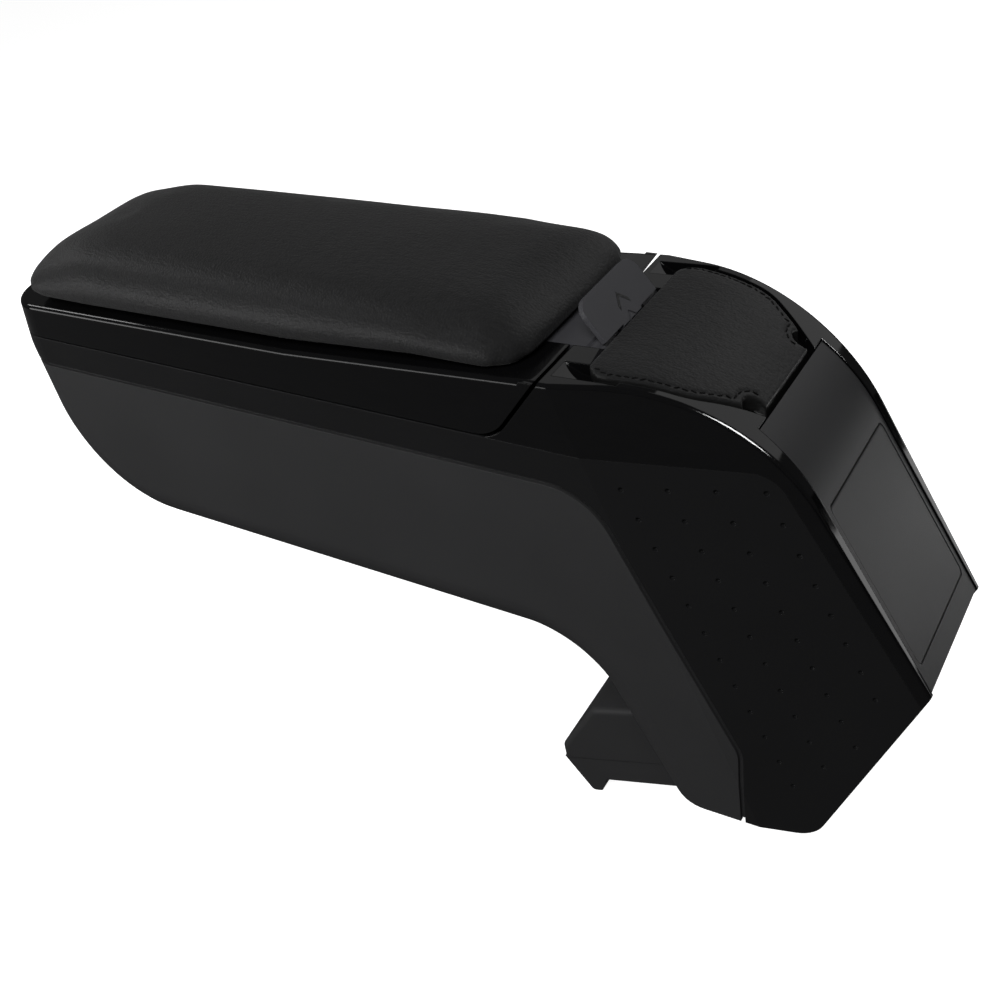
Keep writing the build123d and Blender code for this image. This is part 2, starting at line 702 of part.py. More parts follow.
bin_outer = bin_form(0)
bin_inner = bin_form(BIN_WALL)
with BuildPart() as storage_bin:
    add(bin_outer)
    with BuildSketch(DECK.offset(-LEDGE_DROP)):
        with Locations((bin_middle, 0)):
            RectangleRounded(bin_length, BIN_WIDTH, BIN_CORNER)
    extrude(amount=2 * FLANGE_WIDTH, mode=Mode.SUBTRACT)
    with BuildSketch(DECK.offset(-LEDGE_DROP)):
        with Locations((bin_middle, 0)):
            RectangleRounded(
                bin_length + 2 * FLANGE_WIDTH, BIN_WIDTH + 2 * FLANGE_WIDTH, BIN_CORNER + FLANGE_WIDTH
            )
    extrude(amount=BIN_WALL)
    add(bin_inner, mode=Mode.SUBTRACT)
    with BuildSketch(DECK.offset(-LEDGE_DROP)):
        with Locations(*bin_screw_spots):
            Circle(SCREW_RADIUS + SCREW_CLEARANCE)
    extrude(amount=BIN_WALL, mode=Mode.SUBTRACT)
storage_bin.part.label = "storage_bin"
export_step(storage_bin.part, "parts/storage_bin.step")

mat_front = BIN_FRONT - BIN_NOSE_RADIUS
mat_rear = BIN_REAR + BIN_REAR_RADIUS
with BuildPart() as bin_mat:
    with BuildSketch(DECK.offset(-BIN_DROP + BIN_WALL)):
        with Locations((-(mat_front + mat_rear) / 2, 0)):
            RectangleRounded(mat_front - mat_rear, BIN_WIDTH - 2 * MAT_MARGIN, MAT_MARGIN / 2)
    extrude(amount=MAT_THICKNESS)
bin_mat.part.label = "bin_mat"
export_step(bin_mat.part, "parts/bin_mat.step")

flange_top = DECK.offset(-LEDGE_DROP + BIN_WALL)
bin_screw_places = [
    Plane(origin=flange_top.from_local_coords((x, y, 0)), z_dir=(0, 0, -1)) for x, y in bin_screw_spots
]
bin_screws = screws(bin_screw_places, SCREW_RADIUS, SCREW_LENGTH, SCREW_HEAD_RADIUS, SCREW_HEAD)
bin_screws.label = "bin_screws"
export_step(bin_screws, "parts/bin_screws.step")

# Lid frame: skin, slanted rear wall, screw bosses and the shelf for the hinge block
lid_wall_face = region(
    [
        (-LID_SEAM_GAP, 0, 0),
        (-LID_SEAM_GAP - LID_REAR_RUN, -SEAM_DROP, 0),
        (-LID_SEAM_GAP - LID_REAR_RUN - 2 * WALL, -SEAM_DROP, 0),
        (-LID_SEAM_GAP - 2 * WALL, 0, 0),
    ]
)
block_drop = AXIS_DROP + KNUCKLE_RADIUS
block_half = NOTCH_WIDTH / 2 - NOTCH_CLEARANCE
lid_core = side_slice(outer_form, lid_face)
lid_skin = side_slice(shell, lid_face)
lid_wall = side_slice(lid_core, lid_wall_face)
boss_form = side_slice(body_form(WALL / 2), lid_face)
liner_spots = [
    (-station, side * LINER_SCREW_SPREAD / 2) for station in LINER_SCREW_STATIONS for side in (-1, 1)
]
hinge_spots = [(HINGE_SCREW_SETIN - ARM_BLOCK_REACH, side * NOTCH_WIDTH / 3) for side in (-1, 1)]
liner_top = DECK.offset(-LINER_DROP + LINER_THICKNESS)
shelf_under = DECK.offset(-block_drop - WALL)
with BuildPart() as bosses:
    add(boss_form)
    with BuildSketch(liner_top):
        with Locations(*liner_spots):
            Circle(BOSS_RADIUS)
    extrude(amount=LINER_DROP, mode=Mode.INTERSECT)
with BuildPart() as hinge_shelf:
    add(lid_core)
    with BuildSketch(SIDE):
        with Locations((-ARM_BLOCK_REACH - WALL, 0)):
            Rectangle(FAR, 2 * (block_drop + WALL), align=(Align.MIN, Align.CENTER))
    extrude(amount=NOTCH_WIDTH / 2 + WALL, both=True, mode=Mode.INTERSECT)


def on_rim(edge):
    """Whether an edge is part of the lid's outer rim, along its sides or round its nose."""
    point = edge.position_at(0.5)
    local = SIDE.to_local_coords(point)
    outside = abs(point.Y) > HALF - 0.01 or local.X < EDGE_RADIUS - ARM_LENGTH
    on_top = outline_wire.distance_to(Vertex(local.X, local.Y, 0)) < 0.01
    return outside and on_top and local.Y > -NOSE_DROP - 0.01


with BuildPart() as lid_frame:
    add(lid_skin)
    fillet([edge for edge in lid_frame.edges() if on_rim(edge)], RIM_RADIUS)
    add(lid_wall)
    add(bosses.part)
    add(hinge_shelf.part)
    with BuildSketch(SIDE):
        with Locations((-ARM_BLOCK_REACH - FIT, -block_drop)):
            Rectangle(FAR, FAR, align=(Align.MIN, Align.MIN))
    extrude(amount=block_half + FIT, both=True, mode=Mode.SUBTRACT)
    with BuildSketch(liner_top):
        with Locations(*liner_spots):
            Circle(SCREW_RADIUS + SCREW_CLEARANCE)
    extrude(amount=SCREW_LENGTH - LINER_THICKNESS + SCREW_CLEARANCE, mode=Mode.SUBTRACT)
    with BuildSketch(shelf_under):
        with Locations(*hinge_spots):
            Circle(SCREW_RADIUS + SCREW_CLEARANCE)
    extrude(amount=WALL, mode=Mode.SUBTRACT)
lid_frame.part.label = "lid_frame"
export_step(lid_frame.part, "parts/lid_frame.step")

liner_face = region(
    [
        (-FAR, -LINER_DROP, 0),
        (-LINER_REAR, -LINER_DROP, 0),
        (-LINER_REAR, -LINER_DROP + LINER_THICKNESS, 0),
        (-FAR, -LINER_DROP + LINER_THICKNESS, 0),
    ]
)
liner_plate = side_slice(body_form(WALL + FIT), liner_face)
with BuildPart() as lid_liner:
    add(liner_plate)
    with BuildSketch(liner_top):
        with Locations(*liner_spots):
            Circle(SCREW_RADIUS + SCREW_CLEARANCE)
    extrude(amount=-LINER_THICKNESS, mode=Mode.SUBTRACT)
lid_liner.part.label = "lid_liner"
export_step(lid_liner.part, "parts/lid_liner.step")

liner_under = DECK.offset(-LINER_DROP)
liner_places = [Plane(origin=liner_under.from_local_coords((x, y, 0))) for x, y in liner_spots]
liner_screws = screws(liner_places, SCREW_RADIUS, SCREW_LENGTH, SCREW_HEAD_RADIUS, SCREW_HEAD)
liner_screws.label = "liner_screws"
export_step(liner_screws, "parts/liner_screws.step")

# Rubber buffers under the liner, just clear of the ledge
with BuildPart() as lid_bumpers:
    with BuildSketch(liner_under):
        with Locations(*[(-BUMPER_STATION, side * BUMPER_SPREAD / 2) for side in (-1, 1)]):
            Circle(BUMPER_RADIUS)
    extrude(amount=LINER_DROP - LEDGE_DROP + BIN_WALL + RUN_GAP)
lid_bumpers.part.label = "lid_bumpers"
export_step(lid_bumpers.part, "parts/lid_bumpers.step")

# Pad on its board
pad_middle = -(PAD_FRONT + PAD_REAR) / 2
pad_plan = region(
    [
        (-PAD_FRONT, -PAD_WIDTH / 2, PAD_FRONT_CORNER),
        (-PAD_REAR, -PAD_WIDTH / 2, PAD_REAR_CORNER),
        (-PAD_REAR, PAD_WIDTH / 2, PAD_REAR_CORNER),
        (-PAD_FRONT, PAD_WIDTH / 2, PAD_FRONT_CORNER),
    ]
)
board_plan = region(
    [
        (-PAD_FRONT + BOARD_INSET, -PAD_WIDTH / 2 + BOARD_INSET, PAD_FRONT_CORNER - BOARD_INSET),
        (-ARM_BLOCK_REACH - WALL, -PAD_WIDTH / 2 + BOARD_INSET, PAD_REAR_CORNER - BOARD_INSET),
        (-ARM_BLOCK_REACH - WALL, PAD_WIDTH / 2 - BOARD_INSET, PAD_REAR_CORNER - BOARD_INSET),
        (-PAD_FRONT + BOARD_INSET, PAD_WIDTH / 2 - BOARD_INSET, PAD_FRONT_CORNER - BOARD_INSET),
    ]
)
board_side = region(
    [(x, z, 0) for x, z in rim_line(0)] + [(x, z, 0) for x, z in reversed(rim_line(BOARD_THICKNESS))]
)
nose_run = ARM_LENGTH - NOSE_SETBACK
nose_fall = (NOSE_DROP - RIM_BREAK_DROP) / (nose_run - RIM_BREAK)
pad_low = BOARD_THICKNESS - NOSE_DROP + (nose_run - PAD_FRONT) * nose_fall
pad_side = region(
    [
        (-PAD_FRONT, pad_low, 0),
        *[(x, z, 0) for x, z in rim_line(BOARD_THICKNESS)[1:]],
        (-PAD_REAR, PAD_RISE - PAD_END_FALL, PAD_TOP_RADIUS),
        (pad_middle, PAD_RISE, PAD_CROWN_RADIUS),
        (PAD_FRONT_RUN - PAD_FRONT, PAD_RISE - PAD_END_FALL, PAD_FRONT_RADIUS),
        (-PAD_FRONT, PAD_RISE - PAD_END_FALL - PAD_FRONT_FALL, PAD_LIP_RADIUS),
    ]
)
pad_section = region(
    [
        (-PAD_WIDTH / 2, -2 * NOSE_DROP, 0),
        (PAD_WIDTH / 2, -2 * NOSE_DROP, 0),
        (PAD_WIDTH / 2, PAD_RISE - PAD_CROWN, PAD_TOP_RADIUS),
        (0, PAD_RISE, PAD_CROWN_RADIUS),
        (-PAD_WIDTH / 2, PAD_RISE - PAD_CROWN, PAD_TOP_RADIUS),
    ]
)
across = Plane(origin=DECK.origin, x_dir=(0, 1, 0), z_dir=(1, 0, 0))
with BuildPart() as pad_board:
    with BuildSketch(SIDE):
        add(board_side)
    extrude(amount=ARM_WIDTH, both=True)
    with BuildSketch(DECK):
        add(board_plan)
    extrude(amount=BELOW, both=True, mode=Mode.INTERSECT)
pad_board.part.label = "pad_board"
export_step(pad_board.part, "parts/pad_board.step")

with BuildPart() as lid_pad:
    with BuildSketch(SIDE):
        add(pad_side)
    extrude(amount=ARM_WIDTH, both=True)
    with BuildSketch(DECK):
        add(pad_plan)
    extrude(amount=BELOW, both=True, mode=Mode.INTERSECT)
    with BuildSketch(across):
        add(pad_section)
    extrude(amount=FAR, both=True, mode=Mode.INTERSECT)
lid_pad.part.label = "lid_pad"
export_step(lid_pad.part, "parts/lid_pad.step")

# Hinge block with two knuckles, its screws, the pin and the pin's washers
block_fall = (ARM_BLOCK_REACH - DECK_STRIP) * RIM_BREAK_DROP / (RIM_BREAK - DECK_STRIP)
with BuildPart() as hinge_arm:
    with BuildSketch(SIDE):
        with BuildLine():
            Polyline(
                (-ARM_BLOCK_REACH, -block_drop),
                (AXIS_SETBACK, -block_drop),
                AXIS,
                (AXIS_SETBACK - KNUCKLE_RADIUS, 0),
                (-DECK_STRIP, 0),
                (-ARM_BLOCK_REACH, -block_fall),
                close=True,
            )
        make_face()
        with Locations(AXIS):
            Circle(KNUCKLE_RADIUS)
            Circle(PIN_RADIUS + PIN_CLEARANCE, mode=Mode.SUBTRACT)
    extrude(amount=block_half, both=True)
    with BuildSketch(SIDE):
        with Locations((AXIS_SETBACK - KNUCKLE_RADIUS - WALL / 2, 0)):
            Rectangle(FAR, FAR, align=(Align.MIN, Align.CENTER))
    extrude(amount=TAB_SLOT_WIDTH / 2, both=True, mode=Mode.SUBTRACT)
    with BuildSketch(DECK.offset(-block_drop)):
        with Locations(*hinge_spots):
            Circle(SCREW_RADIUS + SCREW_CLEARANCE)
    extrude(amount=block_drop - WALL / 2, mode=Mode.SUBTRACT)
hinge_arm.part.label = "hinge_arm"
export_step(hinge_arm.part, "parts/hinge_arm.step")

hinge_places = [Plane(origin=shelf_under.from_local_coords((x, y, 0))) for x, y in hinge_spots]
hinge_screws = screws(hinge_places, SCREW_RADIUS, block_drop, SCREW_HEAD_RADIUS, SCREW_HEAD)
hinge_screws.label = "hinge_screws"
export_step(hinge_screws, "parts/hinge_screws.step")

pin_half = NOTCH_WIDTH / 2 + CHEEK_WIDTH + 2 * WASHER_THICKNESS
with BuildPart() as hinge_pin:
    with BuildSketch(SIDE):
        with Locations(AXIS):
            Circle(PIN_RADIUS)
    extrude(amount=pin_half, both=True)
hinge_pin.part.label = "hinge_pin"
export_step(hinge_pin.part, "parts/hinge_pin.step")

with BuildPart() as pin_washers:
    for side in (-1, 1):
        with BuildSketch(SIDE.offset(side * (NOTCH_WIDTH / 2 + CHEEK_WIDTH))):
            with Locations(AXIS):
                Circle(WASHER_RADIUS)
                Circle(PIN_RADIUS + PIN_CLEARANCE, mode=Mode.SUBTRACT)
        extrude(amount=side * WASHER_THICKNESS)
pin_washers.part.label = "pin_washers"
export_step(pin_washers.part, "parts/pin_washers.step")

# Finger tab: knuckle, stem and a plate with an engraved chevron
tab_foot = SIDE.from_local_coords((TAB_FOOT_SETBACK, TAB_FOOT_RISE, 0))
tab_tip = SIDE.from_local_coords((TAB_TIP_SETBACK, TAB_TIP_RISE, 0))
tab_reach = (tab_tip - tab_foot).length
tab_back = Plane(origin=tab_foot, x_dir=(0, 1, 0), z_dir=(tab_tip - tab_foot).cross(Vector(0, -1, 0)))
tab_front_foot = SIDE.to_local_coords(tab_back.from_local_coords((0, TAB_SHOULDER, -TAB_THICKNESS)))
tab_back_shoulder = SIDE.to_local_coords(tab_back.from_local_coords((0, TAB_SHOULDER, 0)))
with BuildPart() as release_tab:
    with BuildSketch(tab_back):
        with BuildLine():
            FilletPolyline(
                (-TAB_WIDTH / 2, TAB_SHOULDER),
                (TAB_WIDTH / 2, TAB_SHOULDER),
                (TAB_WIDTH / 2, tab_reach),
                (-TAB_WIDTH / 2, tab_reach),
                radius=[0, 0, TAB_CORNER, TAB_CORNER],
                close=True,
            )
        make_face()
    extrude(amount=-TAB_THICKNESS)
    with BuildSketch(SIDE):
        with BuildLine():
            Polyline(
                AXIS,
                (AXIS_SETBACK + KNUCKLE_RADIUS - 0.1, -AXIS_DROP - 0.5),
                (TAB_FOOT_SETBACK, TAB_FOOT_RISE),
                (tab_back_shoulder.X, tab_back_shoulder.Y),
                (tab_front_foot.X, tab_front_foot.Y),
                close=True,
            )
        make_face()
        with Locations(AXIS):
            Circle(KNUCKLE_RADIUS)
            Circle(PIN_RADIUS + PIN_CLEARANCE, mode=Mode.SUBTRACT)
    extrude(amount=TAB_KNUCKLE_WIDTH / 2, both=True)
    with BuildSketch(SIDE):
        with Locations(AXIS):
            Circle(PIN_RADIUS + PIN_CLEARANCE)
    extrude(amount=TAB_WIDTH / 2, both=True, mode=Mode.SUBTRACT)
    with BuildSketch(tab_back):
        with Locations((0, TAB_SHOULDER / 2 + tab_reach / 2)):
            with BuildLine():
                Polyline(
                    (-CHEVRON_WIDTH / 2, -CHEVRON_HEIGHT / 2),
                    (0, CHEVRON_HEIGHT / 2 - CHEVRON_STROKE),
                    (CHEVRON_WIDTH / 2, -CHEVRON_HEIGHT / 2),
                    (CHEVRON_WIDTH / 2, -CHEVRON_HEIGHT / 2 + CHEVRON_STROKE),
                    (0, CHEVRON_HEIGHT / 2),
                    (-CHEVRON_WIDTH / 2, -CHEVRON_HEIGHT / 2 + CHEVRON_STROKE),
                    close=True,
                )
            make_face()
    extrude(amount=-CHEVRON_SINK, mode=Mode.SUBTRACT)
release_tab.part.label = "release_tab"
export_step(release_tab.part, "parts/release_tab.step")

# Coil springs either side of the tab's knuckle
spring_start = TAB_KNUCKLE_WIDTH / 2 + SPRING_WIRE + FIT
spring_height = TAB_SLOT_WIDTH / 2 - SPRING_WIRE - FIT - spring_start
coil_foot = SIDE.from_local_coords((AXIS_SETBACK, -AXIS_DROP, -spring_start))
with BuildPart() as tab_springs:
    with BuildLine():
        coil = Helix(
            SPRING_PITCH, spring_height, SPRING_RADIUS, center=coil_foot, direction=(0, 1, 0)
        )
    with BuildSketch(Plane(origin=coil @ 0, z_dir=coil % 0)):
        Circle(SPRING_WIRE)
    sweep(path=coil, is_frenet=True)
    mirror(about=Plane.XZ)
tab_springs.part.label = "tab_springs"
export_step(tab_springs.part, "parts/tab_springs.step")

# Foot: cover and plug, each open towards the other
cover_side = [
    (-FOOT_FRONT, FOOT_SEAM, 0),
    (-FOOT_FRONT + FOOT_RAMP_SETBACK, FOOT_RAMP_FOOT, FOOT_RAMP_SETBACK),
    (-FOOT_FRONT + FOOT_RAMP_RUN, FOOT_TOP, HEEL_RUN),
    (FOOT_REAR, FOOT_TOP, 0),
    (FOOT_REAR, FOOT_SEAM, 0),
]
plug_side = [
    (-FOOT_FRONT, FOOT_SEAM, 0),
    (-FOOT_FRONT + LIP_SETBACK, -LIP_DROP, 2),
    (-FOOT_FRONT + LIP_SETBACK + LIP_WIDTH, -LIP_DROP, 2),
    (-FOOT_FRONT + LIP_SETBACK + LIP_WIDTH + HEEL_RUN, 0, 2),
    (FOOT_REAR, 0, 0),
    (FOOT_REAR, FOOT_SEAM, 0),
]
cover_face = region(cover_side)
cover_core = region([(x, z - FOOT_WALL if z == FOOT_SEAM else z, r) for x, z, r in cover_side], -FOOT_WALL)
plug_face = region(plug_side)
plug_core = region([(x, z + FOOT_WALL if z == FOOT_SEAM else z, r) for x, z, r in plug_side], -FOOT_WALL)
foot_screw_spots = [
    (station, side * FOOT_SCREW_SPREAD / 2) for station in FOOT_SCREW_STATIONS for side in (-1, 1)
]
foot_level = Plane(origin=(0, 0, 0), x_dir=FOOT.x_dir, z_dir=FOOT.y_dir)
pillar_top = foot_level.offset(FOOT_TOP - FOOT_WALL)
with BuildPart() as foot_cover:
    with BuildSketch(FOOT):
        add(cover_face)
    extrude(amount=FOOT_WIDTH / 2, both=True)
    top_edges = [
        edge
        for edge in foot_cover.edges()
        if abs(abs(edge.center().Y) - FOOT_WIDTH / 2) < 0.01
        and FOOT.to_local_coords(edge.center()).Y > FOOT_SEAM + 1
        and FOOT.to_local_coords(edge.center()).X < FOOT_REAR - 1
    ]
    fillet(top_edges, FOOT_RAMP_SETBACK)
    with BuildSketch(FOOT):
        add(cover_core)
    extrude(amount=FOOT_WIDTH / 2 - FOOT_WALL, both=True, mode=Mode.SUBTRACT)
    with BuildSketch(pillar_top):
        with Locations(*foot_screw_spots):
            Circle(SCREW_RADIUS + SCREW_CLEARANCE)
    extrude(amount=FOOT_WALL, mode=Mode.SUBTRACT)
foot_cover.part.label = "foot_cover"
export_step(foot_cover.part, "parts/foot_cover.step")

with BuildPart() as foot_plug:
    with BuildSketch(FOOT):
        add(plug_face)
    extrude(amount=FOOT_WIDTH / 2 - PLUG_STEP, both=True)
    with BuildSketch(FOOT):
        add(plug_core)
    extrude(amount=FOOT_WIDTH / 2 - PLUG_STEP - FOOT_WALL, both=True, mode=Mode.SUBTRACT)
    with BuildSketch(pillar_top):
        with Locations(*foot_screw_spots):
            Circle(SCREW_HEAD_RADIUS + SCREW_RADIUS)
    extrude(amount=FOOT_WALL / 2 - FOOT_TOP + FOOT_WALL)
    with BuildSketch(pillar_top):
        with Locations(*foot_screw_spots):
            Circle(SCREW_RADIUS + SCREW_CLEARANCE)
    extrude(amount=-2 * SCREW_LENGTH, mode=Mode.SUBTRACT)
foot_plug.part.label = "foot_plug"
export_step(foot_plug.part, "parts/foot_plug.step")

# Spine strap from the column front to the top of the foot, with its bolts and screws
upright = Plane(origin=(0, 0, 0), x_dir=(1, 0, 0), z_dir=(0, -1, 0))
with BuildPart() as spine:
    with BuildSketch(upright):
        with BuildLine():
            path = FilletPolyline(
                (strap_top.X, strap_top.Z),
                (strap_corner.X, strap_corner.Z),
                (leg_end.X, leg_end.Z),
                radius=STRAP_BEND,
            )
        trace(path, line_width=STRAP_THICKNESS)
    extrude(amount=STRAP_WIDTH / 2, both=True)
    with BuildSketch(strap_seat):
        with Locations(*bolt_spots):
            Circle(STRAP_BOLT_RADIUS + SCREW_CLEARANCE)
    extrude(amount=STRAP_THICKNESS, mode=Mode.SUBTRACT)
    with BuildSketch(foot_level.offset(FOOT_TOP)):
        with Locations(*foot_screw_spots):
            Circle(SCREW_RADIUS + SCREW_CLEARANCE)
    extrude(amount=STRAP_THICKNESS, mode=Mode.SUBTRACT)
spine.part.label = "spine"
export_step(spine.part, "parts/spine.step")

bolt_plane = strap_seat.offset(STRAP_THICKNESS)
bolt_places = [
    Plane(origin=bolt_plane.from_local_coords((x, y, 0)), z_dir=-bolt_plane.z_dir) for x, y in bolt_spots
]
spine_bolts = screws(
    bolt_places, STRAP_BOLT_RADIUS, STRAP_BOLT_LENGTH, STRAP_BOLT_HEAD_RADIUS, STRAP_BOLT_HEAD
)
spine_bolts.label = "spine_bolts"
export_step(spine_bolts, "parts/spine_bolts.step")

screw_plane = foot_level.offset(FOOT_TOP + STRAP_THICKNESS)
foot_screw_places = [
    Plane(origin=screw_plane.from_local_coords((x, y, 0)), z_dir=-screw_plane.z_dir)
    for x, y in foot_screw_spots
]
foot_screws = screws(foot_screw_places, SCREW_RADIUS, 2 * SCREW_LENGTH, SCREW_HEAD_RADIUS, SCREW_HEAD)
foot_screws.label = "foot_screws"
export_step(foot_screws, "parts/foot_screws.step")
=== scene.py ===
from math import cos, exp, pi, radians, sin

import bpy
from mathutils import Euler, Matrix, Vector
from mathutils.bvhtree import BVHTree
from mathutils.kdtree import KDTree


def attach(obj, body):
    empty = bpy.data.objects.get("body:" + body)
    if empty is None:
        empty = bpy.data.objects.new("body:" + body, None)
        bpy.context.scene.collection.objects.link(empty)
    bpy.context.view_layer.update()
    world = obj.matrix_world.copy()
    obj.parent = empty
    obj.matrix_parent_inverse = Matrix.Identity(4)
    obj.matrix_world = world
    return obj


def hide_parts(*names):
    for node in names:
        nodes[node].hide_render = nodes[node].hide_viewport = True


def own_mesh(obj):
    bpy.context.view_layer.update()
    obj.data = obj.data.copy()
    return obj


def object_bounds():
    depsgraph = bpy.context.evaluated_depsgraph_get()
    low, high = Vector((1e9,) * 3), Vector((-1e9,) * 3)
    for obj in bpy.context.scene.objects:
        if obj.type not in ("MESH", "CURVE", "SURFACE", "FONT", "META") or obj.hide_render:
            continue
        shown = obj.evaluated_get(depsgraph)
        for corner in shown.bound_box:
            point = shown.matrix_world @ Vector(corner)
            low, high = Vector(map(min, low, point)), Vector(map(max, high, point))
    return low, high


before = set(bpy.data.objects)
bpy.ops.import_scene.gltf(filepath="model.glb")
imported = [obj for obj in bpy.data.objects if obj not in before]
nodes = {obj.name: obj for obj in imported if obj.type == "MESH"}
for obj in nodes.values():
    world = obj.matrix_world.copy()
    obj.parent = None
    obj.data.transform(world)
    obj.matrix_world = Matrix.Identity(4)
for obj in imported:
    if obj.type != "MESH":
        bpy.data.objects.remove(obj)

cad_low, cad_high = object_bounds()
scene = bpy.context.scene

UP = Vector((0, 0, 1))
DOWN = Vector((0, 0, -1))

# Camera of the photograph, in metres, degrees and millimetres of lens and sensor
CAMERA_PLACE = (0.2032, -0.3648, 0.5032)
CAMERA_AZIMUTH = 39.43
CAMERA_ELEVATION = 37.08
CAMERA_ROLL = -12.05
CAMERA_LENS = 41.5
CAMERA_SENSOR = 36.0

# Floor and sky: half the floor's width in metres, and shares of white
FLOOR_REACH = 6
FLOOR_TINT = 0.8
FLOOR_GLOW = 0.9
FLOOR_DIM = 0.07
SKY_DIM = 0.05

# Plan of the lid pad, in metres
PAD_MESH = 0.004
PAD_SWELL = 0.0010
PAD_FRONT_CORNER = 0.020
PAD_REAR_CORNER = 0.018
PAD_CORNER_STEPS = 12

# Section of the lid pad: lengths in metres, the belly as a share of the height, slopes and gain as factors
PAD_LIFT = 0.0036
PAD_TUCK = 0.0020
PAD_BELLY = 0.22
PAD_SHOULDER = 0.017
PAD_FRONT_SHOULDER = 0.050
PAD_FRONT_SLOPE = 1.5
PAD_REAR_SHOULDER = 0.032
PAD_REAR_SLOPE = 1.2
PAD_CORNER_SLOPE = 0.58
PAD_CORNER_GAIN = 1.35
PAD_SIDE_STEPS = 3
PAD_TOP_STEPS = 10
PAD_TOP_RINGS = 8
PAD_ROUNDING = 4

# Cloth of the lid pad: height that is held and farthest move in metres
PAD_GRIP = 0.004
PAD_LIMIT = 0.0005
PAD_PRESSURE = 4.0
PAD_STIFFNESS = 60.0
PAD_FRAMES = 20

# Flap: lengths in metres, tilts as the upward share of a normal
FLAP_VOXEL = 0.0008
FLAP_ROUNDING = 3
FLAP_CROWN = 0.0008
FLAP_CROWN_REACH = 0.012
FLAP_LIP_RUN = 0.014
FLAP_LIP_REACH = 0.0035
FLAP_LIP_RISE = 0.0012
FLAP_RIM_TILT = 0.35
FLAP_EDGE_TILT = 0.45
GROOVE_INSET = 0.0022
GROOVE_WIDTH = 0.0007
GROOVE_DEPTH = 0.0005
GROOVE_FADE = 0.002

# Stitches of the flap, in metres
SEAM_STEP = 0.00025
SEAM_FRONT = 0.005
SEAM_REAR = 0.003
STITCH_PITCH = 0.0034
STITCH_LENGTH = 0.0026
STITCH_RADIUS = 0.00042
STITCH_RISE = 0.0001
STITCH_TAPER = 0.6
STITCH_RINGS = 6
STITCH_SPOKES = 8

# Mark on the tab, in metres
CHEVRON_PLACE = (-0.0123, 0.0006, 0.2745)
CHEVRON_STANDOFF = 0.01
CHEVRON_WIDTH = 0.0082
CHEVRON_HEIGHT = 0.0072
CHEVRON_STROKE = 0.0021
CHEVRON_SINK = 0.00012


# Shader maths
class Wire:
    """A node's output that takes part in Python arithmetic."""

    def __init__(self, finish, socket):
        self.finish = finish
        self.socket = socket

    def maths(self, operation, *values):
        return self.finish.node("ShaderNodeMath", {"operation": operation}, values)

    def __add__(self, other):
        return self.maths("ADD", self, other)

    def __radd__(self, other):
        return self.maths("ADD", other, self)

    def __mul__(self, other):
        return self.maths("MULTIPLY", self, other)

    def __rmul__(self, other):
        return self.maths("MULTIPLY", other, self)


class Finish:
    """The nodes of one material, or of the sky, with a method that adds a node of any type."""

    def __init__(self, name, kind=bpy.data.materials, shader="Principled BSDF"):
        self.owner = kind.new(name)
        self.owner.use_nodes = True
        self.tree = self.owner.node_tree
        self.shader = self.tree.nodes[shader]

    def node(self, kind, settings, sockets, output=0):
        """Adds a node, sets it up, fills its sockets and returns one of its outputs."""
        made = self.tree.nodes.new(kind)
        for name, value in settings.items():
            setattr(made, name, value)
        pairs = sockets.items() if isinstance(sockets, dict) else enumerate(sockets)
        for name, value in pairs:
            self.feed(made.inputs[name], value)
        return Wire(self, made.outputs[output])

    def feed(self, socket, value):
        """Links a wire to a socket, or sets the socket's own value."""
        if isinstance(value, Wire):
            self.tree.links.new(value.socket, socket)
        else:
            socket.default_value = value

    def place(self):
        """Where a point of the surface lies on the object at rest, in metres."""
        return self.node("ShaderNodeTexCoord", {}, {}, "Object")

    def stretched(self, x, y, z):
        """The surface's place, stretched along the axes."""
        return self.node("ShaderNodeMapping", {}, {"Vector": self.place(), "Scale": (x, y, z)})

    def grain(self, vector, scale, detail=3.0, roughness=0.5):
        """Soft noise between 0 and 1."""
        sockets = {"Vector": vector, "Scale": scale, "Detail": detail, "Roughness": roughness}
        return self.node("ShaderNodeTexNoise", {}, sockets)

    def cells(self, vector, scale):
        """Distance to the middle of small cells."""
        return self.node("ShaderNodeTexVoronoi", {}, {"Vector": vector, "Scale": scale})

    def waves(self, scale, distortion=0.0, **settings):
        """Even bands across the surface."""
        sockets = {"Vector": self.place(), "Scale": scale, "Distortion": distortion}
        return self.node("ShaderNodeTexWave", settings, sockets)

    def tint(self, mask, dark, light):
        """A colour between two, by a mask."""
        return self.node("ShaderNodeMix", {"data_type": "RGBA"}, {0: mask, 6: dark, 7: light}, 2)

    def fit(self, value, low, high, new_low, new_high):
        """A value moved from one range to another and held there."""
        sockets = {"Value": value, "From Min": low, "From Max": high, "To Min": new_low, "To Max": new_high}
        return self.node("ShaderNodeMapRange", {}, sockets)

    def rounded(self, radius):
        """The normal with its sharp edges eased."""
        return self.node("ShaderNodeBevel", {"samples": 6}, {"Radius": radius})

    def relief(self, height, depth, normal=None):
        """A normal from a height, in metres."""
        sockets = {"Height": height, "Distance": depth, "Strength": 1.0}
        if normal is not None:
            sockets["Normal"] = normal
        return self.node("ShaderNodeBump", {}, sockets)

    def paint(self, **sockets):
        """Fills the shader's sockets, named with underscores for spaces."""
        for name, value in sockets.items():
            self.feed(self.shader.inputs[name.replace("_", " ")], value)
        return self.owner


def grey(value, blue=0.0):
    """A neutral colour, a little cooler where blue is above 0."""
    return (value, value, value * (1 + blue), 1.0)


